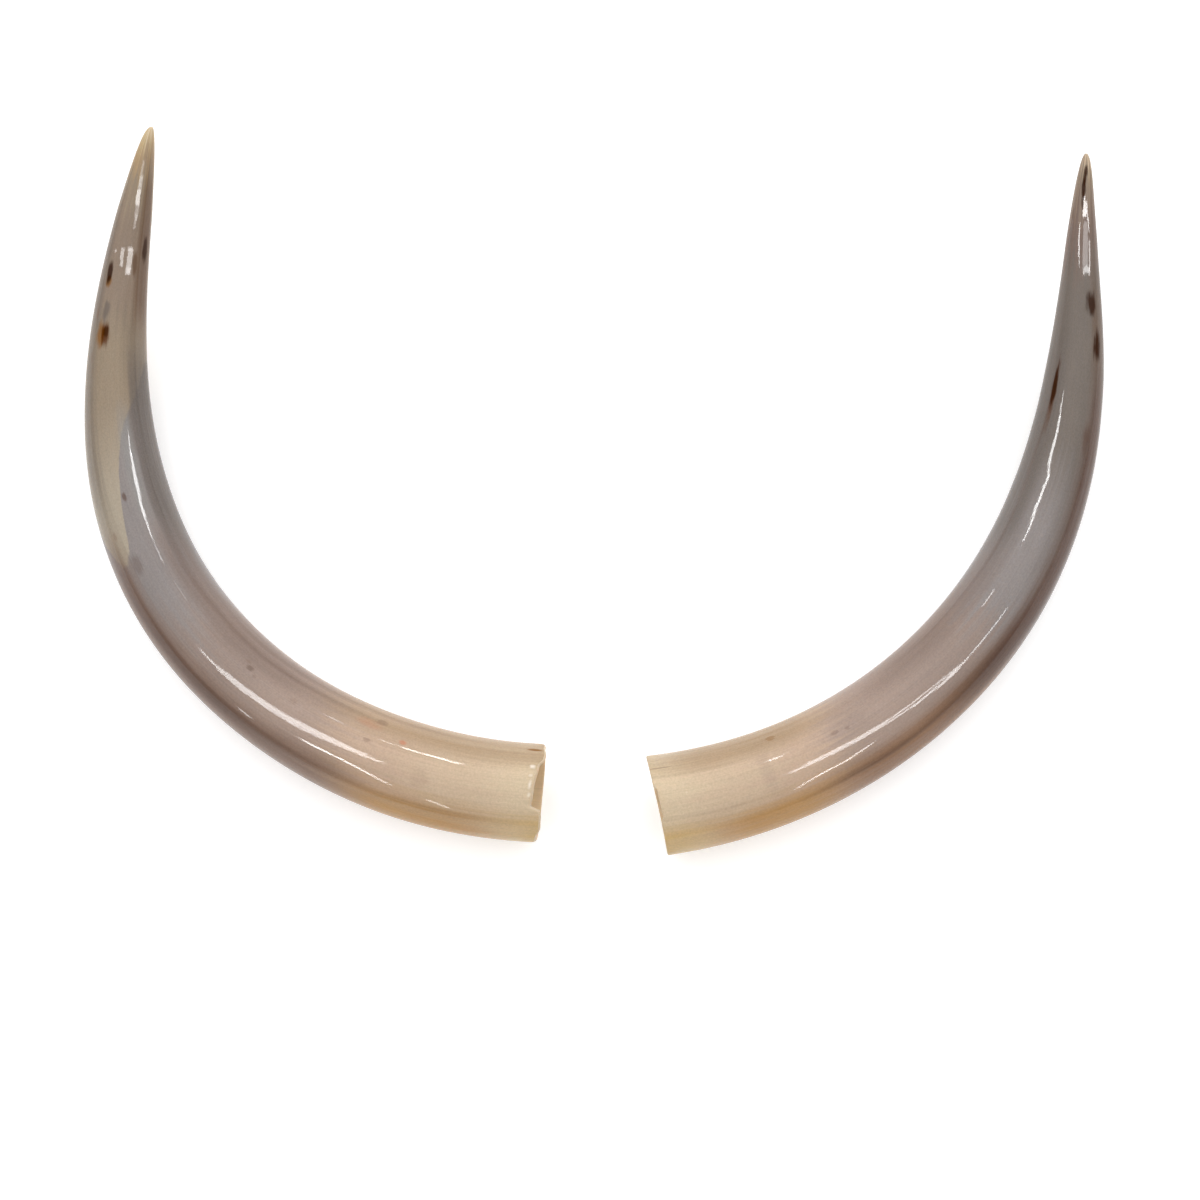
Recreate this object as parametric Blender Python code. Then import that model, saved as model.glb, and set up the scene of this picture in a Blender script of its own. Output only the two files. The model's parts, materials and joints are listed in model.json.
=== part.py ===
"""A pair of polished cow horns, lying on their bellies with the tips raised.

Each horn is one tapering, curving body. Its wide end is sawn off and hollow, where the living
horn sat on its bony core, and the rest is solid up to the tip. The cut ends face each other
across a gap, and both tips sweep away from them and turn back towards the middle.
"""

import math
from dataclasses import dataclass

import bmesh
import bpy
from mathutils import Vector

MM = 0.001

# The far part of each horn leaves the ground, from this share of its length on
RISE_STARTS = 0.5

# The hollow reaches this share of the length, with a thin wall that thickens as it goes in
HOLLOW_SHARE = 0.62
WALL_AT_MOUTH = 4.5 * MM
HOLLOW_TAPER = 3.5

# The uneven saw cut turns the mouth away from square, and this far in the rings are square again
CUT_BLEND = 60 * MM

# How finely a horn is faceted. The rings crowd together towards the tip and towards the hollow's
# far end, where the sections shrink fastest.
SIDES = 28
OUTSIDE_STEPS = 54
HOLLOW_STEPS = 20
TIP_CROWDING = 1.4
HOLLOW_CROWDING = 0.8
INTEGRATION_STEPS = 400

POLISH_ROUGHNESS = 0.16
SHARP_EDGE = math.radians(50)


@dataclass(frozen=True)
class Horn:
    """One horn, described from the middle of its cut end to its tip."""

    name: str
    length: float
    base: tuple[float, float]
    heading: float
    cut_skew: float
    bends: tuple[float, ...]
    radii: tuple[float, ...]
    tip_rise: float
    colour: tuple[float, float, float]


# Bends are in degrees per metre and radii in millimetres, both at equal steps from base to tip
LEFT = Horn(
    name="left_horn",
    length=1000 * MM,
    base=(-54.8 * MM, -212.9 * MM),
    heading=math.radians(178.2),
    cut_skew=math.radians(-2.0),
    bends=(-110, -113, -135, -101, 16),
    radii=(50.0, 50.0, 47.5, 45.5, 41.5, 33.0, 22.5, 0.0),
    tip_rise=125 * MM,
    colour=(0.38, 0.31, 0.25),
)
RIGHT = Horn(
    name="right_horn",
    length=920 * MM,
    base=(64.5 * MM, -224.6 * MM),
    heading=math.radians(7.7),
    cut_skew=math.radians(5.0),
    bends=(107, 117, 116, 70, -57),
    radii=(51.0, 49.0, 47.0, 44.5, 40.0, 32.0, 19.5, 0.0),
    tip_rise=110 * MM,
    colour=(0.36, 0.30, 0.26),
)


def smooth_between(values, share):
    """Read a smooth curve through values set at equal steps, at a share of its length."""
    last = len(values) - 1
    padded = (2 * values[0] - values[1], *values, 2 * values[-1] - values[-2])
    place = min(max(share, 0.0), 1.0) * last
    cell = min(int(place), last - 1)
    t = place - cell
    a, b, c, d = padded[cell : cell + 4]
    return b + 0.5 * t * (c - a + t * (2 * a - 5 * b + 4 * c - d + t * (3 * (b - c) + d - a)))


def outer_radius(horn, share):
    """Radius of the outside. Its square is what changes evenly, which rounds the tip."""
    squares = [(radius * MM) ** 2 for radius in horn.radii]
    return math.sqrt(max(smooth_between(squares, share), 0.0))


def hollow_radius(horn, depth_share):
    """Radius of the hollow: the wall's inside at the mouth, drawn in to a blunt point."""
    outside = outer_radius(horn, depth_share * HOLLOW_SHARE)
    return (outside - WALL_AT_MOUTH) * (1.0 - depth_share**HOLLOW_TAPER)


def rise(horn, share):
    """Height and slope that the horn gains over its far stretch, where it leaves the ground."""
    run = 1.0 - RISE_STARTS
    past = max((share - RISE_STARTS) / run, 0.0)
    return horn.tip_rise * past**2, 2.0 * horn.tip_rise * past / (run * horn.length)


def centre_line(horn):
    """Follow the bends from the base to the tip, as (place, heading) at equal steps."""
    step = horn.length / INTEGRATION_STEPS
    place = Vector((horn.base[0], horn.base[1], 0.0))
    heading = horn.heading
    trail = [(place.copy(), heading)]
    for index in range(INTEGRATION_STEPS):
        middle = (index + 0.5) / INTEGRATION_STEPS
        turn = math.radians(smooth_between(horn.bends, middle)) * step
        flat = step * math.cos(math.atan(rise(horn, middle)[1]))
        along = heading + turn / 2
        place = place + Vector((math.cos(along), math.sin(along), 0.0)) * flat
        heading += turn
        trail.append((place.copy(), heading))
    return trail


def on_line(trail, share):
    """Place and heading on the centre line at a share of the horn's length."""
    position = min(max(share, 0.0), 1.0) * INTEGRATION_STEPS
    cell = min(int(position), INTEGRATION_STEPS - 1)
    t = position - cell
    (start, first), (end, second) = trail[cell], trail[cell + 1]
    return start.lerp(end, t), first + (second - first) * t


def ring_points(horn, trail, share, radius):
    """Points of one round section, standing upright on the belly and tilting with the rise."""
    place, heading = on_line(trail, share)
    gained, slope = rise(horn, share)
    skew = horn.cut_skew * max(1.0 - share * horn.length / CUT_BLEND, 0.0)
    facing = heading + skew
    side = Vector((-math.sin(facing), math.cos(facing), 0.0))
    pitch = math.atan(slope)
    forward = Vector((math.cos(facing), math.sin(facing), 0.0))
    up = Vector((0.0, 0.0, math.cos(pitch))) - forward * math.sin(pitch)
    centre = place + Vector((0.0, 0.0, outer_radius(horn, share) + gained))
    angles = (math.tau * index / SIDES for index in range(SIDES))
    return [centre + side * (radius * math.cos(a)) + up * (radius * math.sin(a)) for a in angles]


def sections(horn, trail):
    """Every ring in turn: up out of the hollow, across the cut face, then along to the tip."""
    rings = []
    for index in reversed(range(HOLLOW_STEPS)):
        depth = (index / HOLLOW_STEPS) ** HOLLOW_CROWDING
        share = depth * HOLLOW_SHARE
        rings.append(ring_points(horn, trail, share, hollow_radius(horn, depth)))
    for index in range(OUTSIDE_STEPS):
        share = 1.0 - (1.0 - index / OUTSIDE_STEPS) ** TIP_CROWDING
        rings.append(ring_points(horn, trail, share, outer_radius(horn, share)))
    return rings


def end_point(horn, trail, share):
    """Point on the centre line that closes the hollow or the tip."""
    place, _ = on_line(trail, share)
    return place + Vector((0.0, 0.0, outer_radius(horn, share) + rise(horn, share)[0]))


def close_end(bm, edges, point):
    """Draw a loop of edges together to a single point."""
    extruded = bmesh.ops.extrude_edge_only(bm, edges=edges)["geom"]
    corners = [item for item in extruded if isinstance(item, bmesh.types.BMVert)]
    bmesh.ops.pointmerge(bm, verts=corners, merge_co=point)


def horn_mesh(horn):
    """Extrude a circle from ring to ring, and draw it to a point at both of its ends."""
    trail = centre_line(horn)
    rings = sections(horn, trail)
    bm = bmesh.new()
    side_number = bm.verts.layers.int.new("side_number")
    bmesh.ops.create_circle(bm, segments=SIDES, radius=1.0)
    bm.verts.ensure_lookup_table()
    for index, corner in enumerate(bm.verts):
        corner[side_number] = index
        corner.co = rings[0][index]
    first_loop = list(bm.edges)
    loop = first_loop
    for ring in rings[1:]:
        extruded = bmesh.ops.extrude_edge_only(bm, edges=loop)["geom"]
        loop = [item for item in extruded if isinstance(item, bmesh.types.BMEdge)]
        for corner in (item for item in extruded if isinstance(item, bmesh.types.BMVert)):
            corner.co = ring[corner[side_number]]
    close_end(bm, loop, end_point(horn, trail, 1.0))
    close_end(bm, first_loop, end_point(horn, trail, HOLLOW_SHARE))
    bmesh.ops.recalc_face_normals(bm, faces=bm.faces)
    mesh = bpy.data.meshes.new(horn.name)
    bm.to_mesh(mesh)
    bm.free()
    mesh.shade_smooth()
    mesh.set_sharp_from_angle(angle=SHARP_EDGE)
    return mesh


def polished_horn(name, colour):
    """Material of one horn: pale greyish keratin under a glossy polish."""
    material = bpy.data.materials.new(name)
    material.use_nodes = True
    shader = material.node_tree.nodes["Principled BSDF"]
    shader.inputs["Base Color"].default_value = (*colour, 1.0)
    shader.inputs["Roughness"].default_value = POLISH_ROUGHNESS
    shader.inputs["Metallic"].default_value = 0.0
    material.diffuse_color = (*colour, 1.0)
    return material


def make_horn(horn, parent):
    """Build one horn as an object under the pair's empty."""
    mesh = horn_mesh(horn)
    mesh.materials.append(polished_horn(horn.name + "_keratin", horn.colour))
    thing = bpy.data.objects.new(horn.name, mesh)
    thing.parent = parent
    bpy.context.collection.objects.link(thing)
    return thing


def centre_pair(parent, horns):
    """Move the pair so that the middle of its footprint is at the origin."""
    corners = [vertex.co for horn in horns for vertex in horn.data.vertices]
    for axis in (0, 1):
        low = min(corner[axis] for corner in corners)
        high = max(corner[axis] for corner in corners)
        parent.location[axis] = -(low + high) / 2


def main():
    """Clear the scene and build both horns."""
    for thing in list(bpy.data.objects):
        bpy.data.objects.remove(thing, do_unlink=True)
    pair = bpy.data.objects.new("horn_pair", None)
    bpy.context.collection.objects.link(pair)
    horns = [make_horn(horn, pair) for horn in (LEFT, RIGHT)]
    centre_pair(pair, horns)


main()
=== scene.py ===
"""A pair of polished cow horns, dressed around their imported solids.

Each horn is one grown piece: a single closed skin that starts deep in the hollow, comes out over
the sawn rim and runs along the outside to the solid tip. Its finish is painted in the horn's own
measures, which are the distance along it from the cut and the angle around it from its top, so
that streaks, bands and flecks follow the curve of the horn.
"""

import json
import logging
import math
from dataclasses import dataclass
from enum import Enum

import bpy
from mathutils import Matrix, Vector

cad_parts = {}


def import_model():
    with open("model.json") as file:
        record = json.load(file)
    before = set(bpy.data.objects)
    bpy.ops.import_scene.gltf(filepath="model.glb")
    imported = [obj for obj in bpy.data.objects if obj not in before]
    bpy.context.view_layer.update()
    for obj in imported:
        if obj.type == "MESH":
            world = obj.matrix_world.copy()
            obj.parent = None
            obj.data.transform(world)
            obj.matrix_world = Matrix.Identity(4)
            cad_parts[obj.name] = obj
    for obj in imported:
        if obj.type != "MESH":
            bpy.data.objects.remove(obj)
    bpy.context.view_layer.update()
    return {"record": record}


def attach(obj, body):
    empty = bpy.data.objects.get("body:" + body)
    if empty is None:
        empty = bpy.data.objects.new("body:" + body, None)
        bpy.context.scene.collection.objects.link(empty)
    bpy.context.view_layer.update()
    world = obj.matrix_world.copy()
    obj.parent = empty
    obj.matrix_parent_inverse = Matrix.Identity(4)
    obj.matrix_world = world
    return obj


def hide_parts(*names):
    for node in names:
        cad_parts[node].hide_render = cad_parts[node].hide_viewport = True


LOG = logging.getLogger("horns")
MM = 0.001

# How strongly horn and its polish bend light
HORN_IOR = 1.54
POLISH_IOR = 1.5

Colour = tuple[float, float, float]
Number = "Value | float"
Socket = bpy.types.NodeSocket
Trail = list[tuple[Vector, float]]


def screen(red: int, green: int, blue: int) -> Colour:
    """Turn a colour as a screen shows it, up to 255, into the linear one that shaders use."""
    shares = (channel / 255 for channel in (red, green, blue))
    return tuple(s / 12.92 if s <= 0.04045 else ((s + 0.055) / 1.055) ** 2.4 for s in shares)


CREAM = screen(202, 182, 153)
SAND = screen(192, 169, 143)
HONEY = screen(198, 167, 116)
AMBER = screen(178, 136, 84)
TOFFEE = screen(134, 99, 71)
TAN = screen(156, 131, 102)
ROSE_TAN = screen(184, 158, 136)
ROSE_GREY = screen(160, 139, 126)
MAUVE = screen(142, 124, 114)
SLATE = screen(132, 124, 121)
ROSY = screen(186, 112, 80)
MIST = screen(134, 131, 128)
SMOKE = screen(99, 90, 84)
TAUPE = screen(109, 99, 91)
OLIVE = screen(161, 149, 131)
DUN = screen(143, 126, 105)
FAWN = screen(136, 118, 102)
STRAW = screen(163, 137, 103)
PALE_STRAW = screen(190, 168, 128)
DUSK = screen(118, 99, 89)
BROWN = screen(122, 97, 82)
UMBER = screen(88, 65, 54)
CHESTNUT = screen(100, 76, 58)
RUST = screen(126, 84, 38)
DARK_RED = screen(84, 42, 0)
BLACK_BROWN = screen(50, 22, 0)
BONE = screen(214, 198, 170)
# Near white, painted on the left horn's lip as highlights
PAINTED_GLINT = screen(240, 234, 222)
WHITE = (1.0, 1.0, 1.0)
BLACK = (0.0, 0.0, 0.0)


class Hand(Enum):
    """The side of its own heading on which a horn's outer curve lies."""

    LEFT = 1.0
    RIGHT = -1.0


def smooth_between(values: tuple[float, ...], share: float) -> float:
    """Read a smooth curve through values set at equal steps.

    Args:
        values: What the curve passes through, from its start to its end.
        share: How far along the curve to read it, from 0 to 1.

    Returns:
        The value there.
    """
    last = len(values) - 1
    padded = (2 * values[0] - values[1], *values, 2 * values[-1] - values[-2])
    place = min(max(share, 0.0), 1.0) * last
    cell = min(int(place), last - 1)
    t = place - cell
    a, b, c, d = padded[cell : cell + 4]
    return b + 0.5 * t * (c - a + t * (2 * a - 5 * b + 4 * c - d + t * (3 * (b - c) + d - a)))


def smooth_step(share: float) -> float:
    """Ease from 0 to 1, level at both ends."""
    return share * share * (3.0 - 2.0 * share)


@dataclass(frozen=True)
class Ring:
    """One round section of the skin.

    `wall` tells where the section lies: 0 in the hollow, 1 outside, and between them on the rim.
    """

    middle: Vector
    facing: float
    pitch: float
    radius: float
    along: float
    wall: float

    def turn(self) -> Matrix:
        """Turn that takes X to the section's side, Y to its top and Z along the horn.

        Returns:
            The turn, for points around the section's middle.
        """
        upright = Matrix.Rotation(math.pi / 2, 4, "Z") @ Matrix.Rotation(math.pi / 2, 4, "X")
        climb = Matrix.Rotation(-self.pitch, 4, "Y")
        return Matrix.Rotation(self.facing, 4, "Z") @ climb @ upright


@dataclass(frozen=True)
class HornShape:
    """The law of one horn's form, from the middle of its cut end to its tip.

    Bends are in degrees per metre and radii in millimetres, both at equal steps. `steps` is how
    many steps the axis is followed in, and `nudge` the angle in degrees by which the slope of the
    skin is felt.
    """

    length: float
    start: tuple[float, float]
    heading: float
    cut_skew: float
    bends: tuple[float, ...]
    radii: tuple[float, ...]
    tip_rise: float
    rise_starts: float = 0.5
    hollow_share: float = 0.62
    mouth_wall: float = 4.5 * MM
    hollow_taper: float = 3.5
    cut_blend: float = 60 * MM
    tip_slimming: float = 0.12
    tip_starts: float = 0.9
    steps: int = 400
    nudge: float = 0.1

    def outer_radius(self, share: float) -> float:
        """Radius of the solid's outside. Its square changes evenly, which rounds the tip."""
        squares = tuple((radius * MM) ** 2 for radius in self.radii)
        return math.sqrt(max(smooth_between(squares, share), 0.0))

    def skin_radius(self, share: float) -> float:
        """Radius of the skin, which is a little more slender than the solid at the tip."""
        past = max(share - self.tip_starts, 0.0) / (1.0 - self.tip_starts)
        return self.outer_radius(share) * (1.0 - self.tip_slimming * past)

    def hollow_radius(self, depth: float) -> float:
        """Radius of the hollow at a share of its depth."""
        outside = self.outer_radius(depth * self.hollow_share)
        return (outside - self.mouth_wall) * (1.0 - depth**self.hollow_taper)

    def rise(self, share: float) -> tuple[float, float]:
        """Height and slope that the horn gains over its far stretch.

        Args:
            share: Share of the length, from the cut.

        Returns:
            The height in metres, and the slope.
        """
        run = 1.0 - self.rise_starts
        past = max((share - self.rise_starts) / run, 0.0)
        return self.tip_rise * past**2, 2.0 * self.tip_rise * past / (run * self.length)

    def trail(self) -> Trail:
        """Follow the bends from the cut end to the tip.

        Returns:
            The place on the ground and the heading at equal steps.
        """
        step = self.length / self.steps
        place = Vector((self.start[0], self.start[1], 0.0))
        heading = self.heading
        found = [(place.copy(), heading)]
        for index in range(self.steps):
            middle = (index + 0.5) / self.steps
            turn = math.radians(smooth_between(self.bends, middle)) * step
            flat = step * math.cos(math.atan(self.rise(middle)[1]))
            way = heading + turn / 2
            place = place + Vector((math.cos(way), math.sin(way), 0.0)) * flat
            heading += turn
            found.append((place.copy(), heading))
        return found

    def ring(self, trail: Trail, share: float, radius: float, wall: float) -> Ring:
        """Set one section on the axis.

        Args:
            trail: The axis on the ground, as `trail` gives it.
            share: Share of the length at which the section lies.
            radius: The section's radius.
            wall: 0 in the hollow, 1 outside, between them on the rim.

        Returns:
            The section.
        """
        position = min(max(share, 0.0), 1.0) * self.steps
        cell = min(int(position), self.steps - 1)
        (first, heading), (second, next_heading) = trail[cell : cell + 2]
        place = first.lerp(second, position - cell)
        heading += (next_heading - heading) * (position - cell)
        gained, slope = self.rise(share)
        skew = self.cut_skew * max(1.0 - share * self.length / self.cut_blend, 0.0)
        middle = place + Vector((0.0, 0.0, self.outer_radius(share) + gained))
        return Ring(middle, heading + skew, math.atan(slope), radius, share * self.length, wall)

    def point(self, trail: Trail, along: float, around: float, hand: Hand) -> Vector:
        """Find a point of the skin.

        Args:
            trail: The axis on the ground.
            along: Distance from the cut in metres.
            around: Angle from the top, outwards, in degrees.
            hand: The side on which the outer curve lies.

        Returns:
            The point.
        """
        share = along / self.length
        ring = self.ring(trail, share, self.skin_radius(share), 1.0)
        angle = math.radians(around)
        spoke = Vector((math.sin(angle) * hand.value, math.cos(angle), 0.0))
        return ring.middle + ring.turn().to_3x3() @ spoke * ring.radius

    def bounce(self, eye: Vector, along: float, around: float, hand: Hand) -> tuple[Vector, Vector]:
        """Follow a look from the eye off the skin.

        Args:
            eye: The eye.
            along: Distance from the cut in metres.
            around: Angle from the top, outwards, in degrees.
            hand: The side on which the outer curve lies.

        Returns:
            The point of the skin, and the way on which the look goes from there.
        """
        trail = self.trail()
        place = self.point(trail, along, around, hand)
        fore, aft = (self.point(trail, along + step, around, hand) for step in (MM, -MM))
        turns = (self.nudge, -self.nudge)
        outer, inner = (self.point(trail, along, around + turn, hand) for turn in turns)
        normal = (fore - aft).cross(outer - inner).normalized()
        look = (place - eye).normalized()
        return place, look - normal * (2.0 * look.dot(normal))


class Modeller:
    """Edit-mode work on one mesh object, as by hand.

    A tilt below `LEVEL` radians is none, and `DRAWN_IN` is the share of its size to which a section
    shrinks before its corners are merged.
    """

    LEVEL = 1e-9
    DRAWN_IN = 0.01

    def __init__(self, name: str) -> None:
        """Remember the name of the piece, which `circle` starts."""
        self.name = name
        self.piece: bpy.types.Object | None = None

    def circle(self, ring: Ring, sides: int) -> None:
        """Start the piece with a circle that lies in a section.

        Args:
            ring: The section.
            sides: How many sides the circle has.
        """
        bpy.ops.object.select_all(action="DESELECT")
        bpy.ops.mesh.primitive_circle_add(
            vertices=sides,
            radius=ring.radius,
            calc_uvs=False,
            location=ring.middle,
            rotation=ring.turn().to_euler(),
        )
        self.piece = bpy.context.object
        self.piece.name = self.name
        self.piece.data.name = self.name
        bpy.ops.object.transform_apply(location=True, rotation=True, scale=True)

    def edit(self) -> None:
        """Enter edit mode, picking by corners and writing on their place."""
        bpy.context.tool_settings.mesh_select_mode = (True, False, False)
        bpy.ops.object.mode_set(mode="EDIT")
        attributes = self.piece.data.attributes
        attributes.active = attributes["place"]

    def leave(self) -> None:
        """Go back to object mode."""
        bpy.ops.object.mode_set(mode="OBJECT")

    def pick(self, chosen: list[bool]) -> None:
        """Select corners in edit mode.

        Args:
            chosen: For each corner of the mesh, whether it is selected.
        """
        self.leave()
        mesh = self.piece.data
        for parts in (mesh.edges, mesh.polygons):
            parts.foreach_set("select", [False] * len(parts))
        mesh.vertices.foreach_set("select", chosen)
        self.edit()

    def draw_on(self, old: Ring, new: Ring) -> None:
        """Extrude the selected section on to the next one and turn and size it there.

        Background Blender turns the other way, so each angle is given with its sign changed.

        Args:
            old: The section that is selected.
            new: The section to make.
        """
        way = new.middle - old.middle
        bpy.ops.mesh.extrude_region_move(TRANSFORM_OT_translate={"value": way})
        tilt = old.pitch - new.pitch
        turns = [("Z", -old.facing), ("Y", tilt), ("Z", new.facing)]
        if abs(tilt) < self.LEVEL:
            turns = [("Z", new.facing - old.facing)]
        for axis, angle in turns:
            bpy.ops.transform.rotate(value=-angle, orient_axis=axis, center_override=new.middle)
        scale = new.radius / old.radius
        bpy.ops.transform.resize(value=(scale, scale, scale), center_override=new.middle)

    def close(self, middle: Vector, shift: Vector) -> None:
        """Extrude the selected section and draw it together to one point.

        Args:
            middle: Middle of the selected section.
            shift: From there to the point.
        """
        bpy.ops.mesh.extrude_region_move(TRANSFORM_OT_translate={"value": shift})
        bpy.ops.transform.resize(value=(self.DRAWN_IN,) * 3, center_override=middle + shift)
        bpy.ops.mesh.merge(type="CENTER")

    def modify(self, kind: str, **settings: object) -> None:
        """Add a modifier to the piece and apply it.

        Args:
            kind: The modifier's type.
            **settings: Its settings, by name.
        """
        modifier = self.piece.modifiers.new(kind.title(), kind)
        for key, value in settings.items():
            setattr(modifier, key, value)
        bpy.ops.object.modifier_apply(modifier=modifier.name)


class Value:
    """A shader socket that carries one number, with Python's arithmetic."""

    def __init__(self, graph: "Graph", socket: Socket) -> None:
        """Wrap a socket of one graph."""
        self.graph = graph
        self.socket = socket

    def _math(self, operation: str, *terms: Number) -> "Value":
        """Join numbers by one Math node."""
        node = self.graph.node("ShaderNodeMath", {"operation": operation}, dict(enumerate(terms)))
        return Value(self.graph, node.outputs[0])

    def __add__(self, other: Number) -> "Value":
        """Sum."""
        return self._math("ADD", self, other)

    def __sub__(self, other: Number) -> "Value":
        """Difference."""
        return self._math("SUBTRACT", self, other)

    def __rsub__(self, other: Number) -> "Value":
        """Difference from a plain number."""
        return self._math("SUBTRACT", other, self)

    def __mul__(self, other: Number) -> "Value":
        """Product."""
        return self._math("MULTIPLY", self, other)

    def __truediv__(self, other: Number) -> "Value":
        """Quotient."""
        return self._math("DIVIDE", self, other)

    def __abs__(self) -> "Value":
        """Size without its sign."""
        return self._math("ABSOLUTE", self)

    __radd__ = __add__
    __rmul__ = __mul__

    def root(self) -> "Value":
        """Square root."""
        return self._math("SQRT", self)

    def bearing(self, other: Number) -> "Value":
        """Angle in degrees of the arrow with this length across and the other length up."""
        return self._math("ARCTAN2", self, other) * math.degrees(1.0)


@dataclass(frozen=True)
class Grain:
    """One noise in the horn.

    `scale` is how fast it changes along three measures of the skin, `detail` how many finer layers
    it has and `rough` how strong they are. `tone` is how much it lightens and darkens the colour,
    and `shift` how many metres it moves the colours along.
    """

    scale: tuple[float, float, float]
    detail: float = 2.0
    rough: float = 0.5
    tone: float = 0.0
    shift: float = 0.0


class Graph:
    """The shader nodes of one material or world."""

    def __init__(self, owner: bpy.types.Material | bpy.types.World) -> None:
        """Empty the nodes of a new material or world.

        Args:
            owner: The material or world.
        """
        self.owner = owner
        owner.use_nodes = True
        self.tree = owner.node_tree
        self.tree.nodes.clear()

    def node(
        self, kind: str, settings: dict | None = None, inputs: dict | None = None
    ) -> bpy.types.Node:
        """Make a node.

        Args:
            kind: The node's type.
            settings: Its settings by name, set first. "stops" gives a ramp's (place, colour) pairs
                and "interpolation" how it passes between them.
            inputs: Values or links of its sockets, by name or number.

        Returns:
            The node.
        """
        node = self.tree.nodes.new(kind)
        for key, value in (settings or {}).items():
            if key == "stops":
                self._set_stops(node.color_ramp, value)
            elif key == "interpolation":
                node.color_ramp.interpolation = value
            else:
                setattr(node, key, value)
        for key, value in (inputs or {}).items():
            self._feed(node.inputs[key], value)
        return node

    def _set_stops(self, ramp: bpy.types.ColorRamp, stops: tuple) -> None:
        """Give a ramp its stops.

        Args:
            ramp: The ramp.
            stops: Its (place, colour) pairs.
        """
        while len(ramp.elements) < len(stops):
            ramp.elements.new(1.0)
        for element, (place, colour) in zip(ramp.elements, stops):
            element.position = place
            element.color = (*colour, 1.0)

    def _feed(self, socket: Socket, value: object) -> None:
        """Link a value to a socket, or set the socket to a constant.

        Args:
            socket: The socket that takes the value.
            value: A number, a colour, a vector or another node's output.
        """
        if isinstance(value, Value):
            value = value.socket
        if isinstance(value, Socket):
            self.tree.links.new(value, socket)
        elif socket.type == "RGBA":
            socket.default_value = (*value, 1.0)
        else:
            socket.default_value = value

    def attribute(self, name: str) -> tuple[Value, Value, Value]:
        """Read a vector attribute of the skin.

        Args:
            name: The attribute's name.

        Returns:
            Its three numbers.
        """
        found = self.node("ShaderNodeAttribute", {"attribute_name": name})
        split = self.node("ShaderNodeSeparateXYZ", inputs={0: found.outputs["Vector"]})
        return tuple(Value(self, socket) for socket in split.outputs)

    def finish(self, shader: bpy.types.Node, output: str = "ShaderNodeOutputMaterial") -> object:
        """Link the last shader to an output of this type, and give back the material or world."""
        self.node(output, inputs={"Surface": shader.outputs[0]})
        return self.owner

    def join(self, x: Number, y: Number, z: Number) -> Socket:
        """A vector from three numbers."""
        return self.node("ShaderNodeCombineXYZ", inputs={0: x, 1: y, 2: z}).outputs[0]

    def noise(self, place: Socket, detail: float = 2.0, rough: float = 0.5) -> Value:
        """Soft noise around 0.5, mostly from 0.25 to 0.75, read at a place in its own units."""
        inputs = {"Vector": place, "Scale": 1.0, "Detail": detail, "Roughness": rough}
        return Value(self, self.node("ShaderNodeTexNoise", inputs=inputs).outputs["Fac"])

    def grain(self, grain: Grain, x: Value, y: Value, z: Value, seed: float = 0.0) -> Value:
        """Soft noise of one grain, read at three measures of the skin.

        Args:
            grain: The grain.
            x: The first measure.
            y: The second measure.
            z: The third measure.
            seed: Shift along the third, which gives another noise of the same kind.

        Returns:
            The noise, mostly from 0.25 to 0.75.
        """
        first, second, third = grain.scale
        place = self.join(x * first, y * second, z * third + seed)
        return self.noise(place, grain.detail, grain.rough)

    def bump(self, strength: float, distance: float, height: Value) -> Socket:
        """The direction of a surface that seems to rise and fall with a height."""
        inputs = {"Strength": strength, "Distance": distance, "Height": height}
        return self.node("ShaderNodeBump", inputs=inputs).outputs[0]

    def shade(self, colour: object, tone: Value) -> Socket:
        """Multiply a colour by a tone, which is 1 where the colour stays as it is."""
        return self.mix(1.0, colour, self.join(tone, tone, tone), "MULTIPLY")

    def ease(self, value: Number, start: float, end: float) -> Value:
        """A smooth step.

        Args:
            value: What is followed.
            start: Where the step is still 0.
            end: Where it is 1. It may be the lesser of the two.

        Returns:
            The step, from 0 to 1.
        """
        settings = {"interpolation_type": "SMOOTHSTEP"}
        inputs = {"Value": value, "From Min": start, "From Max": end}
        return Value(self, self.node("ShaderNodeMapRange", settings, inputs).outputs[0])

    def ramp(self, value: Number, stops: tuple, interpolation: str = "EASE") -> Socket:
        """The colour at a value, from 0 to 1, on a ramp through (place, colour) stops."""
        settings = {"stops": stops, "interpolation": interpolation}
        return self.node("ShaderNodeValToRGB", settings, {0: value}).outputs["Color"]

    def mix(self, share: Number, under: object, over: object, blend: str = "MIX") -> Socket:
        """Lay a colour over another one. The share, from 0 to 1, is how much of the upper shows."""
        settings = {"data_type": "RGBA", "blend_type": blend}
        return self.node("ShaderNodeMix", settings, {0: share, 6: under, 7: over}).outputs[2]


@dataclass(frozen=True)
class Band:
    """A stretch of another colour that follows the horn.

    `around` is the middle and the half-width in degrees from the top, outwards counting up, and
    `along` the start and end in metres from the cut. The streaks of the horn break the band up
    inside by `streaks`, and push its sides about by `raggedness` times their blur.
    """

    colour: Colour
    strength: float
    around: tuple[float, float]
    along: tuple[float, float]
    side_blur: float
    end_blur: float
    streaks: float = 0.5
    raggedness: float = 1.6


@dataclass(frozen=True)
class Mark:
    """One fleck, stain or painted highlight: its middle, and its half-size in metres along, degrees
    around.
    """

    colour: Colour
    strength: float
    along: float
    around: float
    size: tuple[float, float]
    blur: float = 0.4


@dataclass(frozen=True)
class PalePatch:
    """A pale layer with a crisp edge, which comes from the tip down one side.

    `edge` gives the distance from the cut at which the layer starts, at angles around the horn.
    The layer passes to its far colour, and later fades out, between two distances from the cut.
    Its edge is blurred and pushed about by distances too.
    """

    colour: Colour
    far_colour: Colour
    edge: tuple[tuple[float, float], ...]
    turns: tuple[float, float]
    fades: tuple[float, float]
    strength: float = 0.95
    blur: float = 4 * MM
    raggedness: float = 12 * MM


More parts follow.
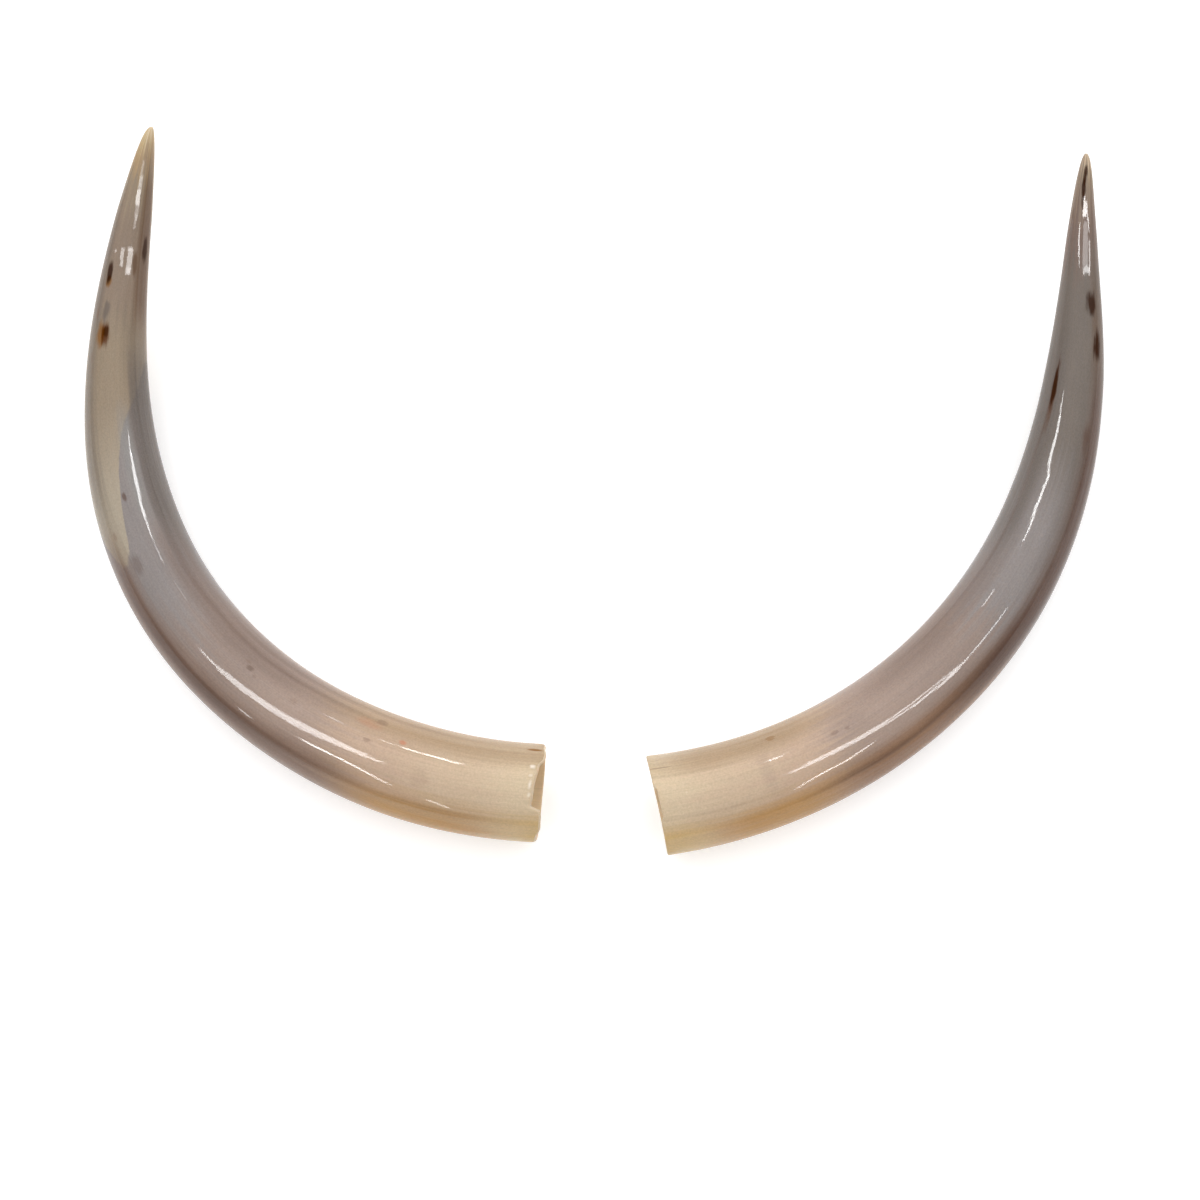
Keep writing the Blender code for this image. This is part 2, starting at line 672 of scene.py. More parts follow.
@dataclass(frozen=True)
class Skin:
    """What the nodes of one polish read from the skin.

    `along` is the distance from the cut and `around` the angle from the top, outwards. The others
    are noises. Those that push edges about, `wander` and `ragged`, are around 0.
    """

    graph: Graph
    along: Value
    around: Value
    fine: Value
    broad: Value
    cloud: Value
    mottle: Value
    wander: Value
    ragged: Value


@dataclass(frozen=True)
class Keratin:
    """Polished horn: fibres, bands, flecks and a few painted highlights under a clear gloss.

    `stops` gives the colour at distances from the cut, in metres. `sway` is how many degrees the
    bands swing to the sides, and `sway_rate` how fast. The fibres fade between the two shares of
    the length in `fading`, down to `calm` in the relief and to a little more than `fibres_kept` in
    the colour. The gloss is weaker on the `lip` and over flecks, and `raggedness` is how far the
    wandering noise and the fine fibres push the edges of the flecks about. `depth` is how far light
    gets into the horn.
    """

    name: str
    length: float
    stops: tuple[tuple[float, Colour], ...]
    bands: tuple[Band, ...]
    marks: tuple[Mark, ...]
    patch: PalePatch | None = None
    seed: float = 0.0
    fine: Grain = Grain((44, 44, 7), 4.0, 0.65, tone=0.30)
    broad: Grain = Grain((9, 9, 4), tone=0.14, shift=0.12)
    cloud: Grain = Grain((2.2, 2.2, 16), 3.0, tone=0.18, shift=0.06)
    mottle: Grain = Grain((26, 26, 480), tone=0.36)
    wander: Grain = Grain((5, 5, 45))
    sway_rate: float = 7.0
    sway: float = 14.0
    fading: tuple[float, float] = (0.5, 0.8)
    calm: float = 0.07
    fibres_kept: float = 0.4
    lip: float = 12 * MM
    lip_raggedness: float = 20 * MM
    raggedness: tuple[float, float] = (1.3, 1.4)
    relief: float = 0.12
    relief_height: float = 0.4 * MM
    broad_relief: float = 0.6
    roughness: float = 0.4
    roughness_spread: float = 0.16
    gloss: float = 0.6
    gloss_lost: float = 0.3
    gloss_roughness: float = 0.06
    depth: float = 2 * MM

    def make(self) -> bpy.types.Material:
        """Build the material.

        Returns:
            The material, which reads the skin's own measures.
        """
        skin = self._read(Graph(bpy.data.materials.new(self.name)))
        graph = skin.graph
        start, end = (share * self.length for share in self.fading)
        calm = 1.0 - graph.ease(skin.along, start, end) * (1.0 - self.calm)
        colour = graph.shade(self._lay_ground(skin), self._tone(skin, calm))
        dull = graph.ease(skin.along + skin.wander * self.lip_raggedness, self.lip, 0.0)
        for mark in self.marks:
            share = self._mark_share(skin, mark)
            colour = graph.mix(share, colour, mark.colour)
            dull = dull + share
        height = (skin.fine + skin.broad * self.broad_relief) * calm
        shader = graph.node(
            "ShaderNodeBsdfPrincipled",
            inputs={
                "Base Color": colour,
                "Roughness": self.roughness + (skin.fine - 0.5) * self.roughness_spread,
                "IOR": HORN_IOR,
                "Normal": graph.bump(self.relief, self.relief_height, height),
                "Specular IOR Level": 0.0,
                "Coat Weight": self.gloss - dull * self.gloss_lost,
                "Coat Roughness": self.gloss_roughness,
                "Coat IOR": POLISH_IOR,
                "Subsurface Weight": 0.15,
                "Subsurface Radius": (1.0, 0.55, 0.3),
                "Subsurface Scale": self.depth,
            },
        )
        return graph.finish(shader)

    def _read(self, graph: Graph) -> Skin:
        """Read the skin's measures and the noises over them.

        Args:
            graph: The material's nodes.

        Returns:
            What the nodes have read.
        """
        along, _, _ = graph.attribute("place")
        across, upward, _ = graph.attribute("round")
        fine, broad, cloud, mottle, wander = (
            graph.grain(grain, across, upward, along, self.seed)
            for grain in (self.fine, self.broad, self.cloud, self.mottle, self.wander)
        )
        wander = wander - 0.5
        by_wander, by_fibres = self.raggedness
        ragged = wander * by_wander + (fine - 0.5) * by_fibres
        around = across.bearing(upward)
        return Skin(graph, along, around, fine, broad, cloud, mottle, wander, ragged)

    def _lay_ground(self, skin: Skin) -> Socket:
        """Lay the broad colours: the ramp from the cut to the tip, the pale layer and the bands.

        Args:
            skin: What the nodes read from the skin.

        Returns:
            The colour.
        """
        graph = skin.graph
        shift = (skin.broad - 0.5) * self.broad.shift + (skin.cloud - 0.5) * self.cloud.shift
        stops = tuple((at / self.length, colour) for at, colour in self.stops)
        colour = graph.ramp((skin.along + shift) / self.length, stops)
        if self.patch:
            colour = self._lay_patch(skin, colour)
        place = graph.join(skin.along * self.sway_rate + self.seed, 0.0, 0.0)
        around = skin.around + (graph.noise(place) - 0.5) * self.sway
        for band in self.bands:
            colour = self._lay_band(skin, colour, band, around)
        return colour

    def _tone(self, skin: Skin, calm: Value) -> Value:
        """Work out how the fibres and the mottling lighten and darken the colour.

        Args:
            skin: What the nodes read from the skin.
            calm: How much of the fibres shows in the relief.

        Returns:
            The tone, around 1.
        """
        fibres = (skin.fine - 0.5) * self.fine.tone + (skin.broad - 0.5) * self.broad.tone
        fibres = fibres * (calm * (1.0 - self.fibres_kept) + self.fibres_kept)
        spots = (skin.cloud - 0.5) * self.cloud.tone
        return 1.0 + fibres + spots + (skin.mottle - 0.5) * self.mottle.tone

    def _lay_band(self, skin: Skin, colour: object, band: Band, around: Value) -> Socket:
        """Lay one band over the colour.

        Args:
            skin: What the nodes read from the skin.
            colour: The colour so far.
            band: The band.
            around: Angle from the top, outwards, as the bands sway.

        Returns:
            The colour with the band.
        """
        graph, along = skin.graph, skin.along
        middle, half = band.around
        start, end = band.along
        streak = skin.broad - 0.5
        off = abs(around - middle) + streak * (band.side_blur * band.raggedness)
        share = graph.ease(off, half + band.side_blur, half - band.side_blur / 2)
        share = share * graph.ease(along, start - band.end_blur, start + band.end_blur)
        share = share * graph.ease(along, end + band.end_blur, end - band.end_blur)
        share = share * (band.strength * (1.0 + streak * (2.0 * band.streaks)))
        return graph.mix(share, colour, band.colour)

    def _mark_share(self, skin: Skin, mark: Mark) -> Value:
        """Work out how much one fleck or painted highlight covers.

        Args:
            skin: What the nodes read from the skin.
            mark: The fleck or painted highlight.

        Returns:
            The share of the fleck's colour, from 0 to 1.
        """
        long, wide = mark.size
        lengthwise = (skin.along - mark.along) / long
        crosswise = (skin.around - mark.around) / wide
        off = (lengthwise * lengthwise + crosswise * crosswise).root() + skin.ragged
        return skin.graph.ease(off, 1.0 + mark.blur, 1.0 - mark.blur) * mark.strength

    def _lay_patch(self, skin: Skin, colour: object) -> Socket:
        """Lay the pale layer over the colour.

        Args:
            skin: What the nodes read from the skin.
            colour: The colour so far.

        Returns:
            The colour with the layer.
        """
        graph, along = skin.graph, skin.along
        patch = self.patch
        stops = tuple(((angle + 180) / 360, (at, at, at)) for angle, at in patch.edge)
        edge = graph.ramp((skin.around + 180.0) / 360.0, stops, "B_SPLINE")
        edge_at = Value(graph, graph.node("ShaderNodeSeparateColor", inputs={0: edge}).outputs[0])
        past = along - edge_at + skin.wander * patch.raggedness
        share = graph.ease(past, -patch.blur, patch.blur) * patch.strength
        start, end = patch.fades
        share = share * graph.ease(along, end, start)
        layer = graph.mix(graph.ease(along, *patch.turns), patch.colour, patch.far_colour)
        return graph.mix(share, colour, layer)


@dataclass(frozen=True)
class BareHorn:
    """Unpolished horn: the sawn rim, and the hollow behind it.

    The hollow glows faintly by the mouth, with the light that comes through its thin wall. Its
    colour deepens down to the distance `deepens`, and its glow fades between two distances.
    `rim_starts` gives the shares across the wall between which the rim's finish sets in.
    """

    name: str
    hollow: Colour = CREAM
    deep: Colour = AMBER
    rim: Colour = CREAM
    light: Colour = HONEY
    fibre: Grain = Grain((26, 26, 9), 3.0, 0.6, tone=0.5, shift=0.05)
    growth: Grain = Grain((1.5, 1.5, 160), tone=0.35)
    saw: Grain = Grain((12, 70, 3), rough=0.6, tone=0.3)
    depth: float = 5 * MM
    deepens: float = 160 * MM
    glow: float = 0.17
    glow_fades: tuple[float, float] = (20 * MM, 140 * MM)
    rim_starts: tuple[float, float] = (0.02, 0.2)
    relief: float = 0.3
    relief_height: float = 0.6 * MM
    roughness: float = 0.55
    roughness_spread: float = 0.3

    def make(self) -> bpy.types.Material:
        """Build the material.

        Returns:
            The material, which reads the skin's own measures.
        """
        graph = Graph(bpy.data.materials.new(self.name))
        along, wall, _ = graph.attribute("place")
        across, upward, _ = graph.attribute("round")
        fibre = graph.grain(self.fibre, across, upward, along)
        growth = graph.grain(self.growth, across, upward, along)
        saw = graph.grain(self.saw, across, upward, wall)
        inside = graph.ease(along + (fibre - 0.5) * self.fibre.shift, 0.0, self.deepens)
        colour = graph.mix(inside, self.hollow, self.deep)
        rings = (growth - 0.5) * self.growth.tone
        colour = graph.shade(colour, 1.0 + (fibre - 0.5) * self.fibre.tone + rings)
        glow = graph.mix(graph.ease(along, *self.glow_fades), self.light, BLACK)
        on_rim = graph.ease(wall, *self.rim_starts)
        rim = graph.shade(self.rim, 1.0 + (saw - 0.5) * self.saw.tone)
        colour = graph.mix(on_rim, colour, rim)
        height = fibre + growth + saw * on_rim
        shader = graph.node(
            "ShaderNodeBsdfPrincipled",
            inputs={
                "Base Color": colour,
                "Roughness": self.roughness + (fibre - 0.5) * self.roughness_spread,
                "IOR": HORN_IOR,
                "Normal": graph.bump(self.relief, self.relief_height, height),
                "Emission Color": graph.mix(on_rim, glow, BLACK),
                "Emission Strength": self.glow,
                "Subsurface Weight": 0.4,
                "Subsurface Radius": (1.0, 0.6, 0.35),
                "Subsurface Scale": self.depth,
            },
        )
        return graph.finish(shader)


# How the skin turns over the rim: millimetres in from the cut, and share across the wall
CRISP_RIM = (
    (6.0, 0.0), (1.6, 0.0), (0.35, 0.06), (0.0, 0.27), (0.0, 0.64), (0.45, 0.92), (1.8, 1.0),
    (6.0, 1.0),
)
ROUNDED_RIM = (
    (6.0, 0.0), (1.5, 0.0), (0.4, 0.05), (0.0, 0.22), (0.1, 0.45), (0.7, 0.68), (1.8, 0.86),
    (3.4, 0.96), (6.5, 1.0),
)


@dataclass(frozen=True)
class Horn:
    """One horn: its form, its two finishes, and how finely it is modelled.

    `saw_line` gives millimetres in from the cut at angles around the horn, and `lumps` the height
    of the unevenness in millimetres at equal steps from the cut to the tip. Faces from
    `polished_from` across the wall on have the polish. The last section lies `tip_gap` short of
    the tip, and the crowding brings the sections closer together towards the two far ends.
    """

    name: str
    node: str
    hand: Hand
    shape: HornShape
    polish: Keratin
    bare: BareHorn
    saw_line: tuple[tuple[float, float], ...]
    lumps: tuple[float, ...] = (0.08, 0.08, 0.08, 0.08, 0.05, 0.02, 0.0)
    lump_size: float = 60 * MM
    saw_reach: float = 45 * MM
    sides: int = 32
    outside_rings: int = 84
    hollow_rings: int = 26
    tip_crowding: float = 1.4
    tip_gap: float = 0.3 * MM
    hollow_crowding: float = 0.8
    smoothing: int = 2
    polished_from: float = 0.9
    rim_profile: tuple[tuple[float, float], ...] = CRISP_RIM

    def rings(self) -> list[Ring]:
        """Lay out every section: up out of the hollow, over the rim, then on to the tip.

        Subdivision draws a ring of corners in a little, so each radius is made up for that.

        Returns:
            The sections in the order in which they are extruded.
        """
        shape = self.shape
        trail = shape.trail()
        swell = 3.0 / (2.0 + math.cos(math.tau / self.sides))
        found = []
        for index in reversed(range(1, self.hollow_rings)):
            depth = (index / self.hollow_rings) ** self.hollow_crowding
            radius = shape.hollow_radius(depth) * swell
            found.append(shape.ring(trail, depth * shape.hollow_share, radius, 0.0))
        for inward, wall in self.rim_profile:
            share = inward * MM / shape.length
            inner = shape.hollow_radius(share / shape.hollow_share)
            radius = inner + (shape.outer_radius(share) - inner) * wall
            found.append(shape.ring(trail, share, radius * swell, wall))
        steps = (index / self.outside_rings for index in range(1, self.outside_rings))
        shares = [1.0 - (1.0 - step) ** self.tip_crowding for step in steps]
        for share in (*shares, 1.0 - self.tip_gap / shape.length):
            found.append(shape.ring(trail, share, shape.skin_radius(share) * swell, 1.0))
        return found

    def build(self) -> bpy.types.Object:
        """Model the skin and dress it.

        Returns:
            The finished piece.
        """
        modeller = Modeller(self.name)
        rings = self.rings()
        modeller.circle(rings[0], self.sides)
        self._measure_round(modeller.piece.data, rings[0])
        modeller.edit()
        bpy.ops.mesh.select_all(action="SELECT")
        self._note_place(rings[0])
        for old, new in zip(rings, rings[1:]):
            modeller.draw_on(old, new)
            self._note_place(new)
        trail = self.shape.trail()
        tip = self.shape.ring(trail, 1.0, 0.0, 1.0)
        modeller.close(rings[-1].middle, tip.middle - rings[-1].middle)
        self._note_place(tip)
        self._close_hollow(modeller, trail, rings[0])
        bpy.ops.mesh.select_all(action="SELECT")
        bpy.ops.mesh.normals_make_consistent(inside=False)
        modeller.leave()
        self._part_finishes(modeller.piece.data)
        modeller.modify("SUBSURF", levels=self.smoothing, render_levels=self.smoothing)
        self._follow_saw(modeller.piece.data)
        self._raise_lumps(modeller)
        bpy.ops.object.shade_smooth()
        return modeller.piece

    def _measure_round(self, mesh: bpy.types.Mesh, ring: Ring) -> None:
        """Give the first section's corners their directions: how far outwards and how far up.

        Each later section is extruded from it, so its corners inherit them.

        Args:
            mesh: The mesh, with the first section alone.
            ring: That section.
        """
        for name in ("round", "place"):
            mesh.attributes.new(name, "FLOAT_VECTOR", "POINT")
        back = ring.turn().to_3x3().inverted()
        for corner, value in zip(mesh.vertices, mesh.attributes["round"].data):
            local = (back @ (corner.co - ring.middle)).normalized()
            value.vector = (local.x * self.hand.value, local.y, 0.0)

    def _note_place(self, ring: Ring) -> None:
        """Write on the selected corners how far along the horn they are, and on which side."""
        bpy.ops.mesh.attribute_set(value_float_vector_3d=(ring.along, ring.wall, 0.0))

    def _close_hollow(self, modeller: Modeller, trail: Trail, first: Ring) -> None:
        """Draw the far end of the hollow to its point.

        Args:
            modeller: The modeller at work on the piece.
            trail: The horn's axis on the ground.
            first: The first section, which is open until now.
        """
        end = self.shape.ring(trail, self.shape.hollow_share, 0.0, 0.0)
        modeller.leave()
        corners = range(len(modeller.piece.data.vertices))
        modeller.pick([index < self.sides for index in corners])
        modeller.close(first.middle, end.middle - first.middle)
        self._note_place(end)

    def _follow_saw(self, mesh: bpy.types.Mesh) -> None:
        """Shift the skin near the mouth so that the rim follows the uneven saw cut.

        The corners are moved one by one, because the cut has steps sharper than a pull can make.

        Args:
            mesh: The piece's mesh.
        """
        mouth = self.shape.ring(self.shape.trail(), 0.0, 1.0, 1.0)
        inward = Vector((math.cos(mouth.facing), math.sin(mouth.facing), 0.0))
        places = mesh.attributes["place"].data
        rounds = mesh.attributes["round"].data
        for corner, place, turned in zip(mesh.vertices, places, rounds):
            near = 1.0 - place.vector.x / self.saw_reach
            if near > 0.0:
                angle = math.degrees(math.atan2(turned.vector.x, turned.vector.y))
                corner.co += inward * (self._saw_depth(angle) * MM * smooth_step(near))

    def _saw_depth(self, angle: float) -> float:
        """How far in the saw cut runs at an angle around the horn.

        Args:
            angle: Angle from the top, outwards, in degrees.

        Returns:
            The depth in millimetres, below zero where the rim stands out.
        """
        line = self.saw_line
        for (first, depth), (second, next_depth) in zip(line, line[1:]):
            if first <= angle <= second:
                between = smooth_step((angle - first) / (second - first))
                return depth + (next_depth - depth) * between
        return line[0][1]

    def _part_finishes(self, mesh: bpy.types.Mesh) -> None:
        """Give the outside its polish, and the rim and the hollow their bare finish.

        Args:
            mesh: The piece's mesh.
        """
        mesh.materials.append(self.polish.make())
        mesh.materials.append(self.bare.make())
        walls = [place.vector.y for place in mesh.attributes["place"].data]
        for face in mesh.polygons:
            wall = sum(walls[corner] for corner in face.vertices) / len(face.vertices)
            face.material_index = 0 if wall > self.polished_from else 1

    def _raise_lumps(self, modeller: Modeller) -> None:
        """Give the skin the slight unevenness of a grown, hand-polished surface.

        Args:
            modeller: The modeller at work on the piece.
        """
        texture = bpy.data.textures.new(self.name + "_lumps", "CLOUDS")
        texture.noise_scale = self.lump_size
        most = max(self.lumps)
        group = modeller.piece.vertex_groups.new(name="lumps")
        mesh = modeller.piece.data
        for corner, place in zip(mesh.vertices, mesh.attributes["place"].data):
            height = smooth_between(self.lumps, place.vector.x / self.shape.length)
            group.add([corner.index], min(max(height / most, 0.0), 1.0), "REPLACE")
        strength = most * MM * 2
        modeller.modify(
            "DISPLACE", texture=texture, strength=strength, mid_level=0.5, vertex_group=group.name
        )
        modeller.piece.vertex_groups.clear()
        bpy.data.textures.remove(texture)

    def install(self) -> None:
        """Build the piece and let it stand for its solid."""
        piece = self.build()
        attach(piece, "root")
        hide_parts(self.node)
        LOG.info("%s: %d faces", piece.name, len(piece.data.polygons))


@dataclass(frozen=True)
class Glint:
    """One highlight, stated where it is seen on a horn, and the lamps that make it.

    `path` gives places along its middle: metres from the cut, degrees around from the top,
    outwards, and the highlight's width there in degrees around. One lamp makes each leg of the
    path. It hangs where the look from the camera goes after it has met the leg, at the ceiling or
    at the distance `near`, and `glow` is how bright it is.
    """

    name: str
    path: tuple[tuple[float, float, float], ...]
    glow: float = 34.0
    near: float = 0.0

    def hang(self, horn: Horn, lit: bpy.types.Collection, eye: Vector, ceiling: float) -> None:
        """Hang the lamps, so that they add a highlight to their own horn alone.

        Args:
            horn: The horn on which the highlight is seen.
            lit: The collection that holds this horn.
            eye: Place of the camera.
            ceiling: Height of the lamps that have no distance of their own.
        """
        for number, (first, last) in enumerate(zip(self.path, self.path[1:])):
            along = (first[0] + last[0]) / 2
            around = (first[1] + last[1]) / 2
            half = (first[2] + last[2]) / 4
            seen = (first[:2], last[:2], (along, around - half), (along, around + half))
            corners = []
            for spot in seen:
                place, way = horn.shape.bounce(eye, *spot, horn.hand)
                corners.append(place + way * (self.near or (ceiling - place.z) / way.z))
            target, _ = horn.shape.bounce(eye, along, around, horn.hand)
            thing = self._lamp(f"{self.name}_{number + 1}", corners, target)
            thing.light_linking.receiver_collection = lit

    def _lamp(self, name: str, ends: list[Vector], target: Vector) -> bpy.types.Object:
        """Make one lamp.

        Args:
            name: Its name.
            ends: The middles of its four sides: the two that it ends in, then the two beside it.
            target: What it faces.

        Returns:
            The lamp, which shows in the gloss alone.
        """
        long = ends[1] - ends[0]
        wide = ends[3] - ends[2]
        greater, lesser = (long, wide) if long.length > wide.length else (wide, long)
        across = greater.normalized()
        lesser = lesser - across * lesser.dot(across)
        back = across.cross(lesser).normalized()
        middle = (ends[0] + ends[1]) / 2
        if back.dot(middle - target) < 0.0:
            back = -back
        light = bpy.data.lights.new(name, "AREA")
        light.shape = "RECTANGLE"
        light.size = greater.length
        light.size_y = lesser.length
        light.energy = self.glow * math.pi * light.size * light.size_y
        thing = bpy.data.objects.new(name, light)
        axes = Matrix((across, back.cross(across), back)).transposed()
        thing.matrix_world = Matrix.Translation(middle) @ axes.to_4x4()
        thing.visible_camera = False
        thing.visible_diffuse = False
        bpy.context.collection.objects.link(thing)
        return thing


@dataclass(frozen=True)
class Studio:
    """The pale floor, the soft light and the camera.

    The sky's light grows from `horizon` to `zenith` towards the direction `brightest`.
    """

    glints: tuple[tuple[Horn, tuple[Glint, ...]], ...]
    eye: tuple[float, float, float]
    target: tuple[float, float, float]
    lens: float
    floor_side: float = 30.0
    ceiling: float = 2.6
    brightest: tuple[float, float, float] = (0.0, 0.5, 0.87)
    horizon: float = 0.3
    zenith: float = 1.8
    floor_colour: Colour = (0.93, 0.93, 0.93)
    floor_glow: float = 0.3
    sensor: float = 36.0

    def set_up(self) -> None:
        """Build the floor, light it and place the camera."""
        self._lay_floor()
        self._light_sky()
        for horn, glints in self.glints:
            lit = bpy.data.collections.new(horn.name + "_lit")
            lit.objects.link(bpy.data.objects[horn.name])
            for glint in glints:
                glint.hang(horn, lit, Vector(self.eye), self.ceiling)
            LOG.info("%s: %d highlights", horn.name, len(glints))
        self._place_camera()
        bpy.context.scene.view_settings.view_transform = "Standard"

    def _lay_floor(self) -> None:
        """Lay one large matt sheet."""
        bpy.ops.object.select_all(action="DESELECT")
        bpy.ops.mesh.primitive_plane_add(size=self.floor_side)
        floor = bpy.context.object
        floor.name = "floor"
        graph = Graph(bpy.data.materials.new("matt_floor"))
        shader = graph.node(
            "ShaderNodeBsdfPrincipled",
            inputs={
                "Base Color": self.floor_colour,
                "Roughness": 0.9,
                "Specular IOR Level": 0.1,
                "Emission Color": WHITE,
                "Emission Strength": self.floor_glow,
            },
        )
        floor.data.materials.append(graph.finish(shader))

    def _light_sky(self) -> None:
        """Surround everything with soft light, brightest high up behind the pair."""
        graph = Graph(bpy.data.worlds.new("pale_room"))
        way = graph.node("ShaderNodeTexCoord").outputs["Generated"]
        facing = graph.node(
            "ShaderNodeVectorMath", {"operation": "DOT_PRODUCT"}, {0: way, 1: self.brightest}
        )
        climb = {"Value": facing.outputs["Value"], "To Min": self.horizon, "To Max": self.zenith}
        strength = graph.node("ShaderNodeMapRange", inputs=climb).outputs[0]
        light = {"Color": WHITE, "Strength": strength}
        sky = graph.node("ShaderNodeBackground", inputs=light)
        bpy.context.scene.world = graph.finish(sky, "ShaderNodeOutputWorld")

    def _place_camera(self) -> None:
        """Place the camera, with its picture's level along the pair."""
        eye, target = Vector(self.eye), Vector(self.target)
        forward = (target - eye).normalized()
        level = Vector((1.0, 0.0, 0.0))
        right = (level - forward * level.dot(forward)).normalized()
        up = right.cross(forward)
        data = bpy.data.cameras.new("camera")
        data.lens = self.lens
        data.sensor_width = self.sensor
        camera = bpy.data.objects.new("camera", data)
        axes = Matrix((right, up, -forward)).transposed()
        camera.matrix_world = Matrix.Translation(eye) @ axes.to_4x4()
        bpy.context.collection.objects.link(camera)
        bpy.context.scene.camera = camera


LEFT_POLISH = Keratin(
    name="left_horn_polish",
    length=1.0,
    stops=(
        (0.0, CREAM), (0.08, SAND), (0.16, ROSE_TAN), (0.25, ROSE_GREY), (0.36, MAUVE),
        (0.47, SLATE), (0.62, SLATE), (0.72, TAUPE), (0.80, FAWN), (0.88, FAWN), (0.93, DUN),
        (0.965, STRAW), (0.99, PALE_STRAW), (1.0, CREAM),
    ),
    bands=(
        Band(TAN, 0.75, (-64.0, 35.0), (-0.1, 0.24), 18.0, 0.06),
        Band(DUSK, 0.6, (-46.0, 22.0), (0.24, 0.54), 14.0, 0.06),
        Band(AMBER, 0.9, (69.0, 27.0), (0.035, 0.20), 22.0, 0.055),
        Band(HONEY, 0.8, (66.0, 26.0), (-0.1, 0.03), 14.0, 0.03),
        Band(BROWN, 0.8, (66.0, 33.0), (0.185, 0.52), 16.0, 0.05),
        Band(UMBER, 0.8, (47.0, 7.0), (0.27, 0.50), 12.0, 0.08),
        Band(UMBER, 0.15, (43.0, 2.0), (0.04, 0.24), 5.0, 0.05),
        Band(UMBER, 0.25, (-41.0, 2.0), (0.20, 0.64), 4.0, 0.05),
        Band(UMBER, 0.2, (-57.0, 2.0), (0.08, 0.38), 4.0, 0.05),
        Band(MIST, 0.6, (-25.0, 9.0), (0.54, 0.67), 8.0, 0.03),
        Band(SMOKE, 0.85, (-66.0, 26.0), (0.50, 0.75), 14.0, 0.06),
        Band(TAUPE, 0.6, (44.0, 14.0), (0.57, 0.90), 14.0, 0.05),
        Band(CHESTNUT, 0.85, (-71.0, 20.0), (0.78, 0.95), 14.0, 0.03),
        Band(FAWN, 0.35, (-62.0, 50.0), (0.95, 0.985), 16.0, 0.01),
    ),
    marks=(
        Mark(RUST, 0.9, 0.010, -51.5, (0.007, 3.0)),
        # Four near-white marks on the rounded lip: painted highlights that stand for glints of the
        # polished edge
        Mark(PAINTED_GLINT, 0.6, 0.0060, -24.0, (0.0022, 2.0), 0.8),
        Mark(PAINTED_GLINT, 0.3, 0.0055, -13.0, (0.0012, 1.4), 0.8),
        Mark(PAINTED_GLINT, 0.6, 0.0045, -2.0, (0.0012, 4.0), 0.8),
        Mark(PAINTED_GLINT, 0.4, 0.0040, 10.0, (0.0012, 2.2), 0.8),
        Mark(ROSY, 0.55, 0.143, -24.5, (0.004, 3.0)),
        Mark(BROWN, 0.4, 0.174, -43.0, (0.006, 5.0)),
        Mark(BROWN, 0.4, 0.179, -12.0, (0.0035, 2.5)),
        Mark(ROSY, 0.22, 0.186, -34.0, (0.012, 5.0), 0.8),
        Mark(BROWN, 0.25, 0.268, -14.0, (0.004, 3.0), 0.7),
        Mark(BROWN, 0.35, 0.318, -11.0, (0.003, 2.0), 0.6),
        Mark(UMBER, 0.45, 0.327, -16.0, (0.0045, 3.5)),
        Mark(BROWN, 0.35, 0.334, -21.0, (0.003, 2.5), 0.6),
        Mark(BROWN, 0.12, 0.115, 10.0, (0.009, 10.0)),
        Mark(UMBER, 0.35, 0.495, 14.5, (0.010, 6.5), 0.6),
        Mark(UMBER, 0.7, 0.573, -2.5, (0.005, 3.0)),
        Mark(BROWN, 0.35, 0.536, 31.0, (0.005, 3.0)),
        Mark(RUST, 0.9, 0.761, 20.0, (0.013, 9.0), 0.5),
        Mark(DARK_RED, 0.95, 0.762, 8.5, (0.013, 7.5), 0.5),
        Mark(BLACK_BROWN, 0.7, 0.765, 7.0, (0.006, 4.5)),
        Mark(SMOKE, 0.7, 0.789, 11.5, (0.013, 7.0)),
        Mark(BROWN, 0.5, 0.785, 35.0, (0.006, 4.0)),
        Mark(RUST, 0.85, 0.822, 15.0, (0.006, 8.0)),
        Mark(BLACK_BROWN, 0.97, 0.832, 17.5, (0.0105, 8.5)),
        Mark(BLACK_BROWN, 0.9, 0.863, -71.0, (0.012, 10.0)),
        Mark(CHESTNUT, 0.85, 0.845, -43.0, (0.012, 5.5)),
        Mark(BROWN, 0.35, 0.737, 38.0, (0.006, 4.0)),
    ),
    patch=PalePatch(
        colour=OLIVE,
        far_colour=DUN,
        edge=(
            (-180.0, 0.70), (-110.0, 0.745), (-78.0, 0.735), (-58.0, 0.702), (-38.0, 0.680),
            (-18.0, 0.652), (-3.0, 0.600), (8.0, 0.545), (18.0, 0.507), (34.0, 0.498),
            (48.0, 0.512), (75.0, 0.56), (110.0, 0.62), (180.0, 0.70),
        ),
        turns=(0.55, 0.70),
        fades=(0.75, 0.82),
    ),
)

